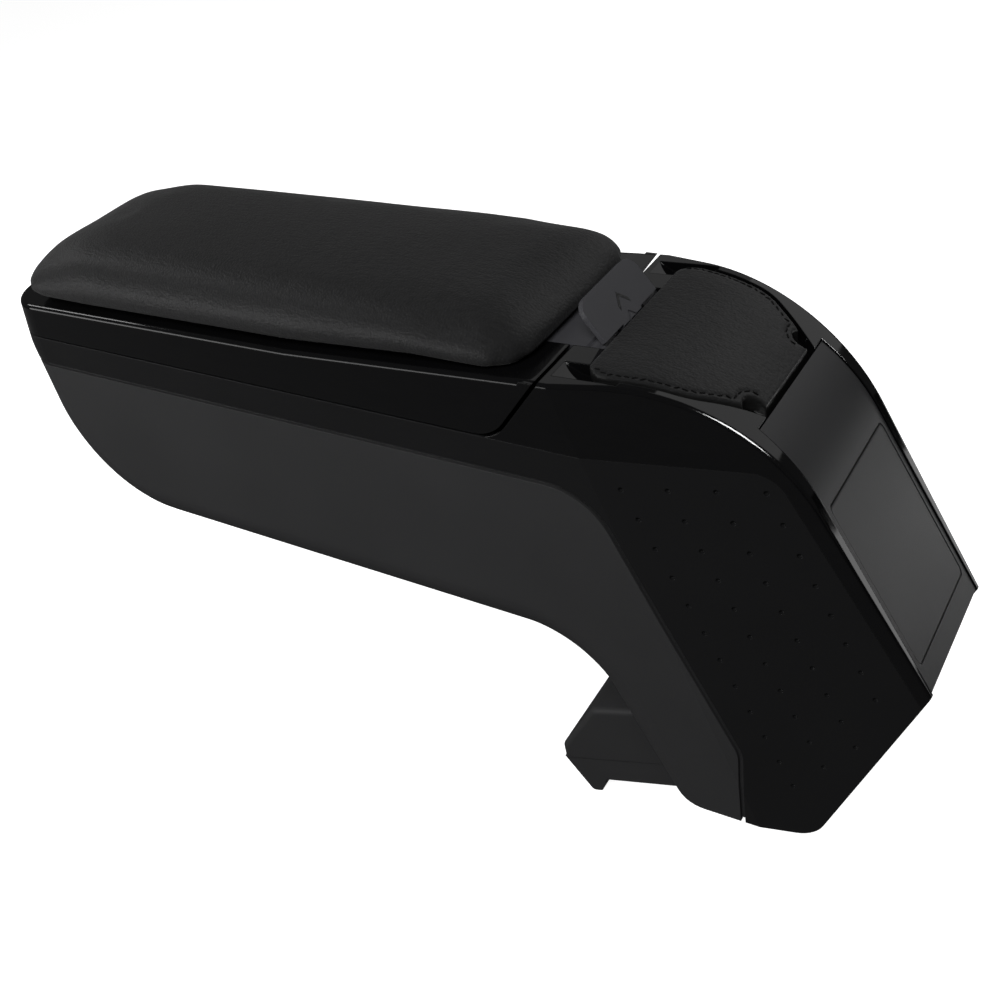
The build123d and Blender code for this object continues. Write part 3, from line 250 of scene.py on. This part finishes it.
# Finishes
def shell_grain():
    """Matte charcoal moulding with a fine spark-eroded grain."""
    finish = Finish("shell_grain")
    place = finish.place()
    fine = finish.grain(place, 2600.0, 2.0)
    cloud = finish.grain(place, 18.0, 3.0)
    return finish.paint(
        Base_Color=finish.tint(cloud, grey(0.022, 0.03), grey(0.028, 0.03)),
        Roughness=0.44 + 0.10 * cloud + 0.08 * fine,
        Normal=finish.relief(fine, 0.00006, finish.rounded(0.0006)),
        Specular_IOR_Level=0.35,
    )


def half_matt():
    """Darker half-matt moulding of the rim and the dimpled column sides."""
    finish = Finish("half_matt")
    place = finish.place()
    fine = finish.grain(place, 2600.0, 2.0)
    cloud = finish.grain(place, 18.0, 3.0)
    return finish.paint(
        Base_Color=finish.tint(cloud, grey(0.0065, 0.05), grey(0.0085, 0.05)),
        Roughness=0.24 + 0.08 * cloud + 0.05 * fine,
        Normal=finish.relief(fine, 0.00003, finish.rounded(0.0006)),
        Specular_IOR_Level=0.3,
    )


def piano_black():
    """Polished black moulding with a faint ripple and a few wiping marks."""
    finish = Finish("piano_black")
    ripple = finish.grain(finish.place(), 60.0, 2.0)
    wiped = finish.grain(finish.stretched(14.0, 60.0, 60.0), 4.0, 4.0)
    return finish.paint(
        Base_Color=finish.tint(wiped, grey(0.002, 0.10), grey(0.003, 0.10)),
        Roughness=finish.fit(wiped, 0.45, 0.8, 0.055, 0.11),
        Normal=finish.relief(ripple, 0.00002, finish.rounded(0.0007)),
        Specular_IOR_Level=0.5,
    )


def satin_cover():
    """Satin charcoal moulding of the rear cover."""
    finish = Finish("satin_cover")
    place = finish.place()
    fine = finish.grain(place, 3200.0, 2.0)
    cloud = finish.grain(place, 25.0, 3.0)
    return finish.paint(
        Base_Color=finish.tint(cloud, grey(0.022, 0.05), grey(0.030, 0.05)),
        Roughness=0.34 + 0.08 * cloud + 0.06 * fine,
        Normal=finish.relief(fine, 0.00004, finish.rounded(0.0006)),
    )


def tab_grey():
    """Mid-grey satin moulding of the finger tab and the hinge block."""
    finish = Finish("tab_grey")
    place = finish.place()
    fine = finish.grain(place, 2800.0, 2.0)
    cloud = finish.grain(place, 40.0, 3.0)
    return finish.paint(
        Base_Color=finish.tint(cloud, grey(0.042, 0.10), grey(0.050, 0.10)),
        Roughness=0.38 + 0.08 * cloud + 0.05 * fine,
        Normal=finish.relief(fine, 0.00004, finish.rounded(0.0004)),
    )


def leatherette():
    """Black leatherette: wrinkles that run along the arm, pores between them and a soft sheen."""
    finish = Finish("leatherette")
    place = finish.place()
    bent = finish.grain(place, 90.0, 2.0)
    wrinkle = finish.grain(finish.stretched(200.0, 560.0, 400.0), 1.0, 3.0, 0.6)
    pores = finish.cells(place, 900.0)
    cloud = finish.grain(place, 30.0, 4.0)
    height = 0.75 * wrinkle + 0.35 * pores + 0.15 * bent
    return finish.paint(
        Base_Color=finish.tint(wrinkle, grey(0.008, 0.02), grey(0.017, 0.02)),
        Roughness=0.39 + 0.10 * cloud + 0.10 * pores,
        Normal=finish.relief(height, 0.00042),
        Sheen_Weight=0.08,
        Sheen_Roughness=0.4,
        Specular_IOR_Level=0.45,
    )


def cut_edge():
    """Dark burnished edge of the leather, also used for the mark on the tab."""
    finish = Finish("cut_edge")
    streak = finish.grain(finish.stretched(300.0, 300.0, 1600.0), 1.0, 3.0)
    return finish.paint(
        Base_Color=finish.tint(streak, grey(0.006), grey(0.014)),
        Roughness=0.22 + 0.2 * streak,
        Normal=finish.relief(streak, 0.0002),
    )


def sewing_thread():
    """Black twisted thread."""
    finish = Finish("sewing_thread")
    twist = finish.waves(900.0, 1.0, wave_type="BANDS", bands_direction="DIAGONAL")
    return finish.paint(
        Base_Color=finish.tint(twist, grey(0.001), grey(0.004)),
        Roughness=0.6 + 0.2 * twist,
        Normal=finish.relief(twist, 0.00008),
    )


def bright_steel():
    """Zinc-plated steel of pins, screws and strap."""
    finish = Finish("bright_steel")
    drawn = finish.grain(finish.stretched(900.0, 120.0, 900.0), 1.0, 3.0)
    return finish.paint(
        Base_Color=finish.tint(drawn, grey(0.42, 0.02), grey(0.55, 0.02)),
        Metallic=1.0,
        Roughness=0.26 + 0.16 * drawn,
        Normal=finish.relief(drawn, 0.00002, finish.rounded(0.0003)),
    )


def ribbed_rubber():
    """Soft black rubber with a fine rib, for the mat and the buffers."""
    finish = Finish("ribbed_rubber")
    rib = finish.waves(80.0, bands_direction="X")
    dust = finish.grain(finish.place(), 300.0, 4.0)
    return finish.paint(
        Base_Color=finish.tint(dust, grey(0.012), grey(0.022)),
        Roughness=0.72 + 0.12 * dust,
        Normal=finish.relief(rib, 0.0003),
    )


LEATHER = leatherette()
EDGE = cut_edge()
THREAD = sewing_thread()

DRESS = {
    shell_grain(): ["lower_shell", "storage_bin", "lid_liner", "pad_board", "foot_cover", "foot_plug"],
    half_matt(): ["upper_shell"],
    piano_black(): ["lid_frame", "saddle_trim"],
    satin_cover(): ["rear_panel", "rear_inset"],
    tab_grey(): ["hinge_arm", "release_tab"],
    LEATHER: ["lid_pad", "flap"],
    ribbed_rubber(): ["bin_mat", "lid_bumpers"],
    bright_steel(): [
        "hinge_pin",
        "pin_washers",
        "spine",
        "spine_bolts",
        "foot_screws",
        "bin_screws",
        "liner_screws",
        "hinge_screws",
        "tab_springs",
    ],
}
for material, names in DRESS.items():
    for name in names:
        mesh = nodes[name].data
        mesh.materials.clear()
        mesh.materials.append(material)


# Tools for the soft pieces
def new_piece(name, mesh, like):
    """Adds a piece that lies where another one lies."""
    piece = bpy.data.objects.new(name, mesh)
    piece.matrix_world = like.matrix_world
    scene.collection.objects.link(piece)
    return piece


def new_mesh(name, points, faces):
    """A mesh of points and faces."""
    mesh = bpy.data.meshes.new(name)
    mesh.from_pydata(points, [], faces)
    return mesh


def bands(first, rings, count):
    """Faces between rings of points, where the first ring starts at an index."""
    faces = []
    for ring in range(rings - 1):
        low = first + ring * count
        high = low + count
        for step in range(count):
            after = (step + 1) % count
            faces.append((low + step, low + after, high + after, high + step))
    return faces


def settle(piece):
    """Makes what a piece's modifiers give its own mesh."""
    graph = bpy.context.evaluated_depsgraph_get()
    piece.data = bpy.data.meshes.new_from_object(piece.evaluated_get(graph))
    piece.modifiers.clear()


def even(piece, voxel):
    """Gives a piece a mesh of even faces."""
    skin = piece.modifiers.new("skin", "REMESH")
    skin.mode = "VOXEL"
    skin.voxel_size = voxel
    settle(piece)


def eased(piece, rounds):
    """Smooths a piece."""
    smooth = piece.modifiers.new("smooth", "SMOOTH")
    smooth.factor = 0.5
    smooth.iterations = rounds
    settle(piece)


def skin_of(thing):
    """A lookup of a thing's faces for rays, in its own frame."""
    return BVHTree.FromPolygons(
        [point.co for point in thing.data.vertices],
        [face.vertices for face in thing.data.polygons],
    )


# Lid pad
def pad_outline(front, rear, half):
    """Points round the pad's plan, a mesh width apart."""
    corners = [
        (front + PAD_FRONT_CORNER, PAD_FRONT_CORNER - half, PAD_FRONT_CORNER, pi),
        (rear - PAD_REAR_CORNER, PAD_REAR_CORNER - half, PAD_REAR_CORNER, 1.5 * pi),
        (rear - PAD_REAR_CORNER, half - PAD_REAR_CORNER, PAD_REAR_CORNER, 0.0),
        (front + PAD_FRONT_CORNER, half - PAD_FRONT_CORNER, PAD_FRONT_CORNER, 0.5 * pi),
    ]
    bends = []
    for x, y, radius, start in corners:
        for step in range(PAD_CORNER_STEPS + 1):
            angle = start + 0.5 * pi * step / PAD_CORNER_STEPS
            bends.append(Vector((x + radius * cos(angle), y + radius * sin(angle), 0.0)))
    line = []
    for here, there in zip(bends, bends[1:] + bends[:1]):
        cuts = max(1, round((there - here).length / PAD_MESH))
        line.extend(here.lerp(there, cut / cuts) for cut in range(cuts))
    return line


def pad_shoulder(lean):
    """Width and slope of the pad's shoulder, where lean is 1 at the front, 0 at a side and -1 at the rear."""
    end, fall = PAD_FRONT_SHOULDER, PAD_FRONT_SLOPE
    if lean < 0:
        end, fall = PAD_REAR_SHOULDER, PAD_REAR_SLOPE
    share = min(1.0, PAD_CORNER_GAIN * abs(lean))
    bend = (4 * lean**2 * (1 - lean**2)) ** 2 if lean > 0 else 0.0
    shoulder = PAD_SHOULDER + (end - PAD_SHOULDER) * share
    slope = 1 + (fall - 1) * share + PAD_CORNER_SLOPE * bend
    return shoulder, slope


def pad_section(shoulder, slope):
    """The pad's section from its lower edge to where its top is flat: inset and share of the height."""
    section = []
    for step in range(PAD_SIDE_STEPS):
        share = step / PAD_SIDE_STEPS
        section.append((PAD_TUCK * (1 - share) ** 2, PAD_BELLY * share))
    for step in range(PAD_TOP_STEPS + 1):
        angle = 0.5 * pi * step / PAD_TOP_STEPS
        rise = sin(angle) ** slope
        section.append((shoulder * (1 - cos(angle)), PAD_BELLY + (1 - PAD_BELLY) * rise))
    return section


class PadForm:
    """The CAD pad's plan and heights, and the rounded form that is built on them."""

    def __init__(self, node):
        self.skin = skin_of(node)
        corners = [Vector(corner) for corner in node.bound_box]
        self.front = corners[0].x - PAD_SWELL
        self.rear = corners[6].x + PAD_SWELL
        self.half = corners[6].y + PAD_SWELL

    def middle(self, x):
        """The place on the pad's middle line that is nearest to a station of its length."""
        return Vector((min(max(x, self.front + self.half), self.rear - self.half), 0.0, 0.0))

    def seat(self, x):
        """Height of the pad's underside at a station of its length."""
        return self.skin.ray_cast(self.middle(x), UP)[0].z

    def depth(self, place):
        """The foam's depth at a place: the CAD pad's, and more at mid-length."""
        share = 2 * (place.x - self.front) / (self.rear - self.front) - 1
        top = self.skin.ray_cast(place + UP, DOWN)[0].z
        return top + PAD_LIFT * (1 - share**4) - self.seat(place.x)

    def rings(self):
        """Rings of points from the pad's lower edge, over its shoulder, to its middle line."""
        steps = PAD_SIDE_STEPS + PAD_TOP_STEPS + 1
        rings = [[] for _ in range(steps + PAD_TOP_RINGS)]
        for edge in pad_outline(self.front, self.rear, self.half):
            middle = self.middle(edge.x)
            reach = (middle - edge).length
            shoulder, slope = pad_shoulder((middle.x - edge.x) / reach)
            inner = edge.lerp(middle, shoulder / reach)
            deep = self.depth(inner)
            for ring, (inset, height) in zip(rings, pad_section(shoulder, slope)):
                place = edge.lerp(middle, inset / reach)
                ring.append(Vector((place.x, place.y, deep * height)))
            for step, ring in enumerate(rings[steps:]):
                place = inner.lerp(middle, (step + 1) / PAD_TOP_RINGS)
                ring.append(Vector((place.x, place.y, self.depth(place))))
        return rings


def lid_cushion():
    """Leather pad of the lid: round shoulders over the CAD pad's plan and height, blown up as cloth."""
    form = PadForm(nodes["lid_pad"])
    rings = form.rings()
    count = len(rings[0])
    points = [place for ring in rings for place in ring]
    faces = bands(0, len(rings), count)
    faces.append(tuple(reversed(range(count))))
    piece = new_piece("lid_cushion", new_mesh("lid_cushion", points, faces), nodes["lid_pad"])
    even(piece, PAD_MESH)
    eased(piece, PAD_ROUNDING)
    blown(piece)
    eased(piece, PAD_ROUNDING)
    for point in piece.data.vertices:
        point.co.z += form.seat(point.co.x)
    piece.data.materials.clear()
    piece.data.materials.append(LEATHER)
    piece.data.shade_smooth()
    finer = piece.modifiers.new("finer", "SUBSURF")
    finer.levels = 1
    finer.render_levels = 1
    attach(piece, "lid")
    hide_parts("lid_pad")


def blown(piece):
    """Blows a piece up as cloth that is held along its underside."""
    held = piece.vertex_groups.new(name="held")
    for point in piece.data.vertices:
        held.add([point.index], 1.0 if point.co.z < PAD_GRIP else 0.0, "REPLACE")
    starts = [point.co.copy() for point in piece.data.vertices]
    cloth = piece.modifiers.new("cloth", "CLOTH")
    cloth.settings.use_pressure = True
    cloth.settings.uniform_pressure_force = PAD_PRESSURE
    cloth.settings.effector_weights.gravity = 0.0
    cloth.settings.tension_stiffness = PAD_STIFFNESS
    cloth.settings.compression_stiffness = PAD_STIFFNESS
    cloth.settings.vertex_group_mass = "held"
    cloth.point_cache.frame_end = PAD_FRAMES
    for moment in range(1, PAD_FRAMES + 1):
        scene.frame_set(moment)
    settle(piece)
    scene.frame_set(1)
    for point, start in zip(piece.data.vertices, starts):
        moved = point.co - start
        if moved.length > PAD_LIMIT:
            point.co = start + moved * (PAD_LIMIT / moved.length)


# Flap
def plan(point):
    """A point's place seen from above."""
    return Vector((point.x, point.y, 0.0))


def rim_finder(mesh):
    """A lookup of the upright edge faces of a sheet, seen from above."""
    rim = [point.co for point in mesh.vertices if abs(point.normal.z) < FLAP_RIM_TILT]
    finder = KDTree(len(rim))
    for index, place in enumerate(rim):
        finder.insert(plan(place), index)
    finder.balance()
    return finder


def ends(mesh):
    """How far forward and how far back a mesh reaches."""
    lengthwise = [point.co.x for point in mesh.vertices]
    return min(lengthwise), max(lengthwise)


def lip_drawn(mesh, front):
    """Draws the flap's front edge forward and up, towards the tab."""
    for point in mesh.vertices:
        near = max(0.0, 1.0 - (point.co.x - front) / FLAP_LIP_RUN) ** 2
        point.co.x -= FLAP_LIP_REACH * near
        point.co.z += FLAP_LIP_RISE * near


def crowned(mesh, front, rear):
    """Raises the flap's middle and presses the stitch line in along its sides."""
    rim = rim_finder(mesh)
    moved = []
    for point in mesh.vertices:
        inset = rim.find(plan(point.co))[2]
        crown = FLAP_CROWN * sin(min(1.0, inset / FLAP_CROWN_REACH) * pi / 2)
        groove = GROOVE_DEPTH * exp(-(((inset - GROOVE_INSET) / GROOVE_WIDTH) ** 2))
        groove *= min(1.0, max(0.0, (rear - point.co.x - SEAM_REAR) / GROOVE_FADE))
        groove *= min(1.0, max(0.0, (point.co.x - front) / GROOVE_FADE - 1))
        lift = max(0.0, point.normal.z)
        moved.append(point.co + point.normal * lift * (crown - groove))
    for point, place in zip(mesh.vertices, moved):
        point.co = place


def flap_cover():
    """Folded leather of the flap, with its cut edge."""
    piece = new_piece("flap_cover", nodes["flap"].data.copy(), nodes["flap"])
    even(piece, FLAP_VOXEL)
    eased(piece, FLAP_ROUNDING)
    mesh = piece.data
    front, rear = ends(mesh)
    lip_drawn(mesh, front)
    crowned(mesh, front, rear)
    mesh.materials.clear()
    mesh.materials.append(LEATHER)
    mesh.materials.append(EDGE)
    mesh.shade_smooth()
    for face in mesh.polygons:
        face.material_index = 1 if abs(face.normal.z) < FLAP_EDGE_TILT else 0
    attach(piece, "column")
    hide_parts("flap")
    pushed_back(piece)
    return piece


def pushed_back(piece):
    """Gives the piece a mesh of its own."""
    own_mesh(piece)


# Stitches
def seam_line(rim, side, start, end):
    """Points of the stitch line on one side of the flap, seen from above."""
    line = []
    steps = int((end - start) / SEAM_STEP)
    for step in range(steps + 1):
        x = start + step * SEAM_STEP
        y = 0.0
        while rim.find(Vector((x, side * y, 0.0)))[2] > GROOVE_INSET:
            y += SEAM_STEP
        line.append(Vector((x, side * y, 0.0)))
    return line


def stations(line, pitch):
    """Places at an even pitch along a line, each with the line's direction there."""
    found = []
    walked = 0.0
    for here, there in zip(line, line[1:]):
        stretch = (there - here).length
        while stretch > 0 and len(found) * pitch < walked + stretch:
            along = (len(found) * pitch - walked) / stretch
            found.append((here.lerp(there, along), (there - here).normalized()))
        walked += stretch
    return found


def stitch_points(turn):
    """Rings of points of one rounded stitch at a place, along its local x."""
    points = []
    for ring in range(STITCH_RINGS + 1):
        angle = pi * ring / STITCH_RINGS
        along = -cos(angle) * STITCH_LENGTH / 2
        wide = sin(angle) ** STITCH_TAPER * STITCH_RADIUS
        for spoke in range(STITCH_SPOKES):
            around = 2 * pi * spoke / STITCH_SPOKES
            points.append(turn @ Vector((along, wide * cos(around), wide * sin(around))))
    return points


def flap_stitches(flap):
    """Thread along both sides of the flap and round its corner notches."""
    skin = skin_of(flap)
    rim = rim_finder(flap.data)
    front, rear = ends(flap.data)
    points, faces = [], []
    for side in (-1, 1):
        line = seam_line(rim, side, front + SEAM_FRONT, rear - SEAM_REAR)
        for place, way in stations(line, STITCH_PITCH):
            spot, normal, _, _ = skin.ray_cast(place + UP, DOWN)
            along = (way - normal * way.dot(normal)).normalized()
            across = normal.cross(along)
            turn = Matrix((along, across, normal)).transposed().to_4x4()
            faces += bands(len(points), STITCH_RINGS + 1, STITCH_SPOKES)
            points += stitch_points(Matrix.Translation(spot + normal * STITCH_RISE) @ turn)
    mesh = new_mesh("flap_stitches", points, faces)
    mesh.materials.append(THREAD)
    mesh.shade_smooth()
    piece = new_piece("flap_stitches", mesh, flap)
    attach(piece, "column")
    pushed_back(piece)


# Mark on the tab
def tab_chevron():
    """Dark mark let into the middle of the finger tab, pointing to its tip."""
    tab = nodes["release_tab"]
    behind = Vector((CHEVRON_STANDOFF, 0, CHEVRON_STANDOFF))
    start = Vector(CHEVRON_PLACE) + behind
    spot, normal, _, _ = skin_of(tab).ray_cast(start, -behind.normalized())
    across = Vector((0, 1, 0))
    turn = Matrix((across, normal.cross(across), normal)).transposed().to_4x4()
    half, tall, stroke = CHEVRON_WIDTH / 2, CHEVRON_HEIGHT / 2, CHEVRON_STROKE
    outline = [
        (-half, -tall),
        (0, tall - stroke),
        (half, -tall),
        (half, stroke - tall),
        (0, tall),
        (-half, stroke - tall),
    ]
    levels = (-CHEVRON_SINK, CHEVRON_SINK)
    points = [turn @ Vector((x, y, level)) + spot for level in levels for x, y in outline]
    faces = [(0, 5, 4, 1), (1, 4, 3, 2), (6, 7, 10, 11), (7, 8, 9, 10)]
    faces += bands(0, len(levels), len(outline))
    mesh = new_mesh("tab_chevron", points, faces)
    mesh.materials.append(EDGE)
    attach(new_piece("tab_chevron", mesh, tab), "tab")


lid_cushion()
flap_stitches(flap_cover())
tab_chevron()


# Floor and sky
def floor_white():
    """White floor for the camera that keeps the shadow, and a dark one to what stands on it."""
    finish = Finish("floor_white")
    seen = finish.node("ShaderNodeLightPath", {}, {}, "Is Camera Ray")
    finish.paint(Base_Color=grey(FLOOR_TINT), Roughness=0.9)
    glow = finish.node("ShaderNodeEmission", {}, {"Color": grey(1.0), "Strength": FLOOR_GLOW})
    dark = finish.node("ShaderNodeBsdfDiffuse", {}, {"Color": grey(FLOOR_DIM)})
    matt = Wire(finish, finish.shader.outputs[0])
    lit = finish.node("ShaderNodeAddShader", {}, [matt, glow])
    mixed = finish.node("ShaderNodeMixShader", {}, [seen, dark, lit])
    finish.feed(finish.tree.nodes["Material Output"].inputs["Surface"], mixed)
    return finish.owner


def studio_floor():
    """A wide level floor under the object."""
    far = FLOOR_REACH
    mesh = new_mesh("floor", [(-far, -far, 0), (far, -far, 0), (far, far, 0), (-far, far, 0)], [(0, 1, 2, 3)])
    mesh.materials.append(floor_white())
    floor = bpy.data.objects.new("floor", mesh)
    floor.location.z = cad_low[2]
    scene.collection.objects.link(floor)


def studio_sky():
    """A sky that is white to the camera and dim to the object."""
    finish = Finish("studio", bpy.data.worlds, "Background")
    seen = finish.node("ShaderNodeLightPath", {}, {}, "Is Camera Ray")
    return finish.paint(Color=grey(1.0), Strength=SKY_DIM + (1 - SKY_DIM) * seen)


studio_floor()
scene.world = studio_sky()


# Lights
def softbox(name, place, aim, width, height, power, mirrored=True, only=()):
    """A studio light, in metres and watts, left out of reflections or kept to those of some pieces."""
    light = bpy.data.lights.new(name, "AREA")
    light.shape = "RECTANGLE"
    light.size = width
    light.size_y = height
    light.energy = power
    lamp = bpy.data.objects.new(name, light)
    lamp.location = place
    lamp.rotation_euler = (Vector(aim) - Vector(place)).to_track_quat("-Z", "Y").to_euler()
    lamp.visible_glossy = mirrored
    if only:
        lit = bpy.data.collections.new(name)
        for piece in only:
            lit.objects.link(nodes[piece])
        lamp.light_linking.receiver_collection = lit
        lamp.visible_diffuse = False
    scene.collection.objects.link(lamp)


softbox("overhead", (0.22, -0.84, 1.42), (-0.05, 0, 0.2), 0.8, 0.6, 17.0, mirrored=False)
softbox("rail_glint", (0.98, -0.48, 1.2), (0.055, -0.04, 0.25), 0.62, 0.62, 42.0, only=["saddle_trim"])
softbox("nose_glint", (-1.4, -0.09, 0.99), (-0.33, -0.05, 0.25), 0.22, 0.3, 1.0)
softbox("near_fill", (-0.95, -1.3, 0.45), (-0.1, 0, 0.2), 1.5, 0.8, 10.0, mirrored=False)
softbox("near_sheen", (-1.1, -1.15, 0.26), (-0.15, 0, 0.25), 1.2, 0.4, 3.4)
softbox("front_fill", (-1.35, 0.1, 0.28), (-0.3, 0, 0.2), 0.5, 0.5, 2.5, mirrored=False)
softbox("rear_low", (0.45, 0.45, 0.045), (0.12, 0, 0.17), 0.5, 0.13, 0.30)
softbox("rear_high", (0.44, 0.98, 1.03), (0.05, 0, 0.25), 1.2, 0.9, 2.0)
softbox("far_fill", (-0.6, 1.3, 0.32), (-0.1, 0, 0.2), 1.5, 0.6, 3.0, mirrored=False)
softbox("far_top", (-0.5, 1.2, 0.95), (0, 0, 0.25), 1.0, 0.4, 0.28)


# Camera
def photo_camera():
    """The camera that took the photograph."""
    lens = bpy.data.cameras.new("camera")
    lens.lens = CAMERA_LENS
    lens.sensor_width = CAMERA_SENSOR
    camera = bpy.data.objects.new("camera", lens)
    camera.location = CAMERA_PLACE
    turn = Euler((radians(90 - CAMERA_ELEVATION), 0, radians(CAMERA_AZIMUTH))).to_matrix()
    roll = Euler((0, 0, radians(CAMERA_ROLL))).to_matrix()
    camera.rotation_euler = (turn @ roll).to_euler()
    scene.collection.objects.link(camera)
    return camera


scene.camera = photo_camera()
scene.view_settings.view_transform = "Standard"
